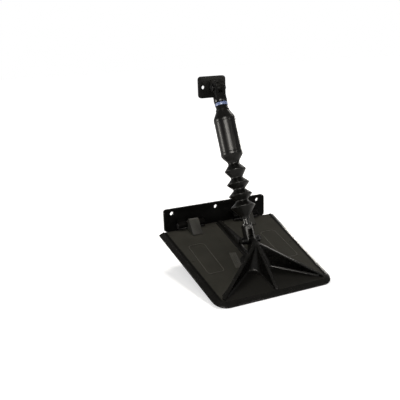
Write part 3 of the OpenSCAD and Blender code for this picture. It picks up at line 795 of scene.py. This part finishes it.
@dataclass
class PlateMarks:
    """Small moulded marks on the panel: round pips, two plain raised outlines and a studded pad.

    Args:
        tab: Frame of the plate.
        pips: Places of the pips as (sideways, aft), in millimetres.
        pip_d: Diameter of a pip, in millimetres.
        pip_h: Height of a pip, in millimetres.
        pip_sides: Number of sides of a pip.
        outlines: Outlines as (left, right, front, rear) edges, in millimetres.
        corner_r: Radius of an outline's corners, in millimetres.
        corner_steps: Number of short lines in such a corner.
        line_w: Width of an outline's raised line, in millimetres.
        line_h: Height of that line, in millimetres.
        edge_r: Rounding of the pips' and the outlines' edges, in millimetres.
        pad_place: Middle of the studded pad as (sideways, aft), in millimetres.
        pad_size: Width and length of the pad, in millimetres.
        pad_lean: Angle by which the pad's rear end leans outward, in degrees.
        pad_edge_r: Rounding of the pad's edges, in millimetres.
        studs: Number of studs across and along the pad.
        stud_d: Diameter of a stud, in millimetres.
        stud_sides: Number of sides of a stud.
        stud_edge_r: Rounding of a stud's edges, in millimetres.
        stud_slack: Height over the pad below which a face is the pad's, in millimetres.
    """

    tab: TabFrame
    pips: tuple[Pair, ...] = ((-17, 14), (17, 14), (-110, 17), (110, 17), (-102, 106), (102, 106))
    pip_d: float = 5.0
    pip_h: float = 0.7
    pip_sides: int = 32
    outlines: tuple[Span, ...] = ((-93, -60, 60, 150), (60, 93, 60, 150))
    corner_r: float = 7.0
    corner_steps: int = 6
    line_w: float = 1.6
    line_h: float = 0.5
    edge_r: float = 0.35
    pad_place: Pair = (-27.5, 127.0)
    pad_size: Pair = (13.5, 46.0)
    pad_lean: float = 12.0
    pad_edge_r: float = 0.2
    studs: tuple[int, int] = (4, 12)
    stud_d: float = 2.3
    stud_sides: int = 12
    stud_edge_r: float = 0.25
    stud_slack: float = 0.05

    def build(self) -> None:
        """Builds all the marks."""
        self._pad()
        pip = self._disc("panel_pip", self.pip_d, self.pip_h, self.pip_sides)
        Bench.soften(pip, self.edge_r)
        for index, place in enumerate(self.pips):
            copy = Bench.copied(pip.data, f"panel_pip_{index + 1}")
            Bench.settle(copy, self.tab.on_top(*place))
            # The pips take the panel top's lighter tone, as painted light
            Bench.dress(copy, Slot.COMPOSITE, Body.TAB).data.materials[0] = GRAIN_LIT
        bpy.data.objects.remove(pip)
        for index, edges in enumerate(self.outlines):
            self._outline(f"panel_outline_{index + 1}", edges)

    @staticmethod
    def _disc(name: str, diameter: float, height: float, sides: int) -> bpy.types.Object:
        """Adds a disc that stands half over the ground and half under it.

        Args:
            name: Name of the disc.
            diameter: Its diameter, in millimetres.
            height: Its height over the ground, in millimetres.
            sides: Number of its sides.

        Returns:
            The new object.
        """
        Bench.clear()
        bpy.ops.mesh.primitive_cylinder_add(vertices=sides, radius=diameter / 2 * MM, depth=2 * height * MM)
        return Bench.fresh(name)

    def _pad(self) -> None:
        """Models the low pad with its rows of studs as one piece."""
        (width, length), (across, along) = self.pad_size, self.studs
        Bench.clear()
        bpy.ops.mesh.primitive_cube_add(size=1.0)
        pad = Bench.fresh("studded_pad")
        pad.scale = (width * MM, length * MM, self.line_h * MM)
        Bench.settle(pad, Matrix.Identity(4))
        Bench.soften(pad, self.pad_edge_r, 2)
        stud = self._disc("stud", self.stud_d, self.line_h, self.stud_sides)
        Bench.soften(stud, self.stud_edge_r, 2)
        copies = []
        for index in range(across * along):
            column, row = divmod(index, along)
            copy = Bench.copied(stud.data, "stud_copy")
            copy.location.x = ((column + 0.5) / across - 0.5) * width * MM
            copy.location.y = ((row + 0.5) / along - 0.5) * length * MM
            copies.append(copy)
        bpy.data.objects.remove(stud)
        Bench.pick(pad)
        for copy in copies:
            copy.select_set(True)
        bpy.ops.object.join()
        Bench.smooth(pad)
        lean = Matrix.Rotation(-math.radians(self.pad_lean), 4, "Z")
        Bench.settle(pad, self.tab.on_top(*self.pad_place) @ lean)
        # The studs take the leaves' lighter tone and the pad's base the outlines' one, both painted light
        Bench.dress(pad, Slot.LEAF, Body.TAB).data.materials.append(LINE_HIGHLIGHT)
        into_tab = self.tab.frame().inverted()
        for face in pad.data.polygons:
            height = (into_tab @ face.center).z
            face.material_index = int(height < (self.line_h / 2 + self.stud_slack) * MM)

    def _outline(self, name: str, edges: Span) -> None:
        """Models one raised outline from a plane by inset and extrusion.

        Args:
            name: Name of the piece.
            edges: Its left, right, front and rear edges, in millimetres.
        """
        left, right, front, rear = edges
        Bench.clear()
        bpy.ops.mesh.primitive_plane_add(size=1.0)
        piece = Bench.fresh(name)
        piece.scale = ((right - left) * MM, (rear - front) * MM, 1.0)
        Bench.settle(piece, Matrix.Identity(4))
        with Bench.editing(piece, "EDGE"):
            bpy.ops.mesh.bevel(offset=self.corner_r * MM, segments=self.corner_steps, affect="VERTICES")
        with Bench.editing(piece, "FACE"):
            bpy.ops.mesh.inset(thickness=self.line_w * MM)
            bpy.ops.mesh.delete(type="FACE")
        Bench.apply(piece, "SOLIDIFY", thickness=2 * self.line_h * MM, offset=0.0)
        Bench.soften(piece, self.edge_r)
        Bench.settle(piece, self.tab.on_top((left + right) / 2, (front + rear) / 2))
        # The outline takes the light copy of the plastic, as a painted highlight
        Bench.dress(piece, Slot.COMPOSITE, Body.TAB).data.materials[0] = LINE_HIGHLIGHT


@dataclass(frozen=True)
class Lamp:
    """A soft, slightly warm lamp.

    Args:
        place: Where it stands, in metres.
        target: Where it points, in metres.
        size: Its width and height, in metres.
        power: Its power, in watts.
        reach: What it lights.
        colour: Its colour, linear.
    """

    place: Triple
    target: Triple
    size: Pair
    power: float
    reach: Reach
    colour: Triple = (1.0, 0.965, 0.90)

    def build(self) -> None:
        """Adds the lamp."""
        turn = (Vector(self.target) - Vector(self.place)).to_track_quat("-Z", "Y").to_euler()
        bpy.ops.object.light_add(type="AREA", location=self.place, rotation=turn)
        made = bpy.context.object
        made.data.shape, made.data.energy, made.data.color = "RECTANGLE", self.power, self.colour
        made.data.size, made.data.size_y = self.size
        made.visible_glossy = self.reach is not Reach.TONE
        made.visible_diffuse = self.reach is not Reach.GLINT


@dataclass
class Studio:
    """White studio: a pale floor, soft lamps and the camera.

    Args:
        eye: Place of the camera, in metres.
        azimuth: Camera's azimuth, in degrees.
        elevation: Camera's elevation, in degrees.
        roll: Camera's roll, in degrees.
        lens: Focal length, in millimetres.
        sensor: Width of the camera's sensor, in millimetres.
        lamps: The lamps.
        ambient: Strength of the world's own light on the object.
        ceiling: Heights of direction between which the backdrop fades, and its strength at each.
        mirrored: Share of the backdrop's white that reflections show.
        floor_size: Length of the floor's sides, in metres.
        floor_tone: The floor's tone, linear.
        floor_rough: The floor's roughness.
        glow: Distances between which the floor's own white grows, and its strength at each.
    """

    eye: Triple = (-0.5059, -1.0251, 0.3437)
    azimuth: float = -24.843
    elevation: float = 15.539
    roll: float = -2.033
    lens: float = 54.0
    sensor: float = 36.0
    lamps: tuple[Lamp, ...] = (
        Lamp((0.10, 0.60, 1.85), (0.0, -0.12, 0.0), (0.60, 0.60), 40.0, Reach.TONE),
        Lamp((-0.51, -1.20, 0.84), (0.0, -0.10, 0.10), (0.50, 0.50), 6.0, Reach.TONE),
        Lamp((-0.51, -1.20, 0.84), (0.0, -0.10, 0.10), (0.55, 0.14), 22.0, Reach.GLINT),
        Lamp((-1.15, 0.36, 0.22), (0.0, -0.08, 0.15), (0.30, 0.30), 6.0, Reach.GLINT),
        Lamp((1.03, 0.44, 0.79), (0.05, -0.12, -0.04), (0.30, 0.30), 2.2, Reach.GLINT),
        Lamp((0.53, -1.03, 0.52), (0.0, -0.10, 0.04), (0.14, 0.45), 2.0, Reach.GLINT),
        Lamp((1.03, 0.64, 0.114), (0.116, -0.117, -0.047), (0.30, 0.16), 1.9, Reach.GLINT),
    )
    ambient: float = 0.12
    ceiling: Span = (0.30, 0.55, 1.0, 0.2)
    mirrored: float = 0.2
    floor_size: float = 12.0
    floor_tone: float = 0.55
    floor_rough: float = 0.9
    glow: Span = (0.35, 1.1, 0.66, 1.0)

    def build(self) -> None:
        """Builds the world, the floor, the lamps and the camera."""
        bpy.context.scene.view_settings.view_transform = "Standard"
        self._world()
        self._floor()
        for lamp in self.lamps:
            lamp.build()
        self._camera()

    def _seen(self, nodes: bpy.types.Nodes, link: Link) -> bpy.types.NodeSocket:
        """Adds nodes that tell camera, glossy and transmission rays from the rest.

        Args:
            nodes: Nodes of the tree.
            link: Function that links two of its sockets.

        Returns:
            The share of the white that a ray sees.
        """
        path = nodes.new("ShaderNodeLightPath")
        dim, first, second = (nodes.new("ShaderNodeMath") for _ in range(3))
        dim.operation, first.operation, second.operation = "MULTIPLY", "MAXIMUM", "MAXIMUM"
        dim.inputs[1].default_value = self.mirrored
        link(path.outputs["Is Glossy Ray"], dim.inputs[0])
        link(path.outputs["Is Camera Ray"], first.inputs[0])
        link(dim.outputs[0], first.inputs[1])
        link(first.outputs[0], second.inputs[0])
        link(path.outputs["Is Transmission Ray"], second.inputs[1])
        return second.outputs[0]

    def _world(self) -> None:
        """White backdrop under a dark ceiling for what is seen, and a dimmer light for the rest."""
        world = bpy.context.scene.world or bpy.data.worlds.new("studio")
        bpy.context.scene.world = world
        world.use_nodes = True
        nodes, link = world.node_tree.nodes, world.node_tree.links.new
        nodes.clear()
        seen, lit = nodes.new("ShaderNodeBackground"), nodes.new("ShaderNodeBackground")
        seen.inputs["Color"].default_value = lit.inputs["Color"].default_value = WHITE
        lit.inputs["Strength"].default_value = self.ambient
        place, split = nodes.new("ShaderNodeTexCoord"), nodes.new("ShaderNodeSeparateXYZ")
        fade = ranged(nodes, self.ceiling)
        fade.interpolation_type = "SMOOTHSTEP"
        link(place.outputs["Generated"], split.inputs["Vector"])
        link(split.outputs["Z"], fade.inputs["Value"])
        link(fade.outputs["Result"], seen.inputs["Strength"])
        mix, out = nodes.new("ShaderNodeMixShader"), nodes.new("ShaderNodeOutputWorld")
        link(self._seen(nodes, link), mix.inputs[0])
        link(lit.outputs[0], mix.inputs[1])
        link(seen.outputs[0], mix.inputs[2])
        link(mix.outputs[0], out.inputs["Surface"])

    def _floor(self) -> None:
        """Pale floor under the lowest point, white where no shadow falls."""
        Bench.clear()
        bpy.ops.mesh.primitive_plane_add(size=self.floor_size, location=(0.0, 0.0, CAD_BOX[0][2]))
        floor = Bench.fresh("studio_floor")
        paint = bpy.data.materials.new("studio_floor")
        paint.use_nodes = True
        nodes, link = paint.node_tree.nodes, paint.node_tree.links.new
        shader, out = nodes["Principled BSDF"], nodes["Material Output"]
        shader.inputs["Base Color"].default_value = (*(self.floor_tone,) * 3, 1.0)
        shader.inputs["Roughness"].default_value = self.floor_rough
        shader.inputs["Specular IOR Level"].default_value = 0.0
        place, far = nodes.new("ShaderNodeTexCoord"), nodes.new("ShaderNodeVectorMath")
        far.operation = "LENGTH"
        fade, glow = ranged(nodes, self.glow), nodes.new("ShaderNodeEmission")
        link(place.outputs["Object"], far.inputs[0])
        link(far.outputs["Value"], fade.inputs["Value"])
        link(fade.outputs["Result"], glow.inputs["Strength"])
        both, mix = nodes.new("ShaderNodeAddShader"), nodes.new("ShaderNodeMixShader")
        link(shader.outputs[0], both.inputs[0])
        link(glow.outputs[0], both.inputs[1])
        link(self._seen(nodes, link), mix.inputs[0])
        link(shader.outputs[0], mix.inputs[1])
        link(both.outputs[0], mix.inputs[2])
        link(mix.outputs[0], out.inputs["Surface"])
        floor.data.materials.append(paint)

    def _camera(self) -> None:
        """Camera at the photograph's viewing angle."""
        az, el, roll = (math.radians(angle) for angle in (self.azimuth, self.elevation, self.roll))
        back = Vector((math.cos(el) * math.sin(az), -math.cos(el) * math.cos(az), math.sin(el)))
        level = Vector((math.cos(az), math.sin(az), 0.0))
        upright = back.cross(level)
        right = math.cos(roll) * level + math.sin(roll) * upright
        up = math.cos(roll) * upright - math.sin(roll) * level
        data = bpy.data.cameras.new("camera")
        data.lens, data.sensor_width, data.sensor_fit = self.lens, self.sensor, "HORIZONTAL"
        camera = bpy.data.objects.new("camera", data)
        bpy.context.scene.collection.objects.link(camera)
        turn = Matrix((right, up, back)).transposed().to_4x4()
        camera.matrix_world = Matrix.Translation(self.eye) @ turn
        bpy.context.scene.camera = camera


def main() -> None:
    """Builds the pieces and the studio."""
    logging.basicConfig(level=logging.INFO)
    pieces = {moulding.node: moulding.build() for moulding in MOULDINGS}
    tab = TabFrame()
    PanelGrainAndPaintedLight(tab).dress(pieces["trim_plate"])
    Boot(Strut()).build()
    BayFillets(tab).build()
    PlateMarks(tab).build()
    for part in INNER_PARTS:
        part.dress()
    Studio().build()


if __name__ == "__main__":
    main()
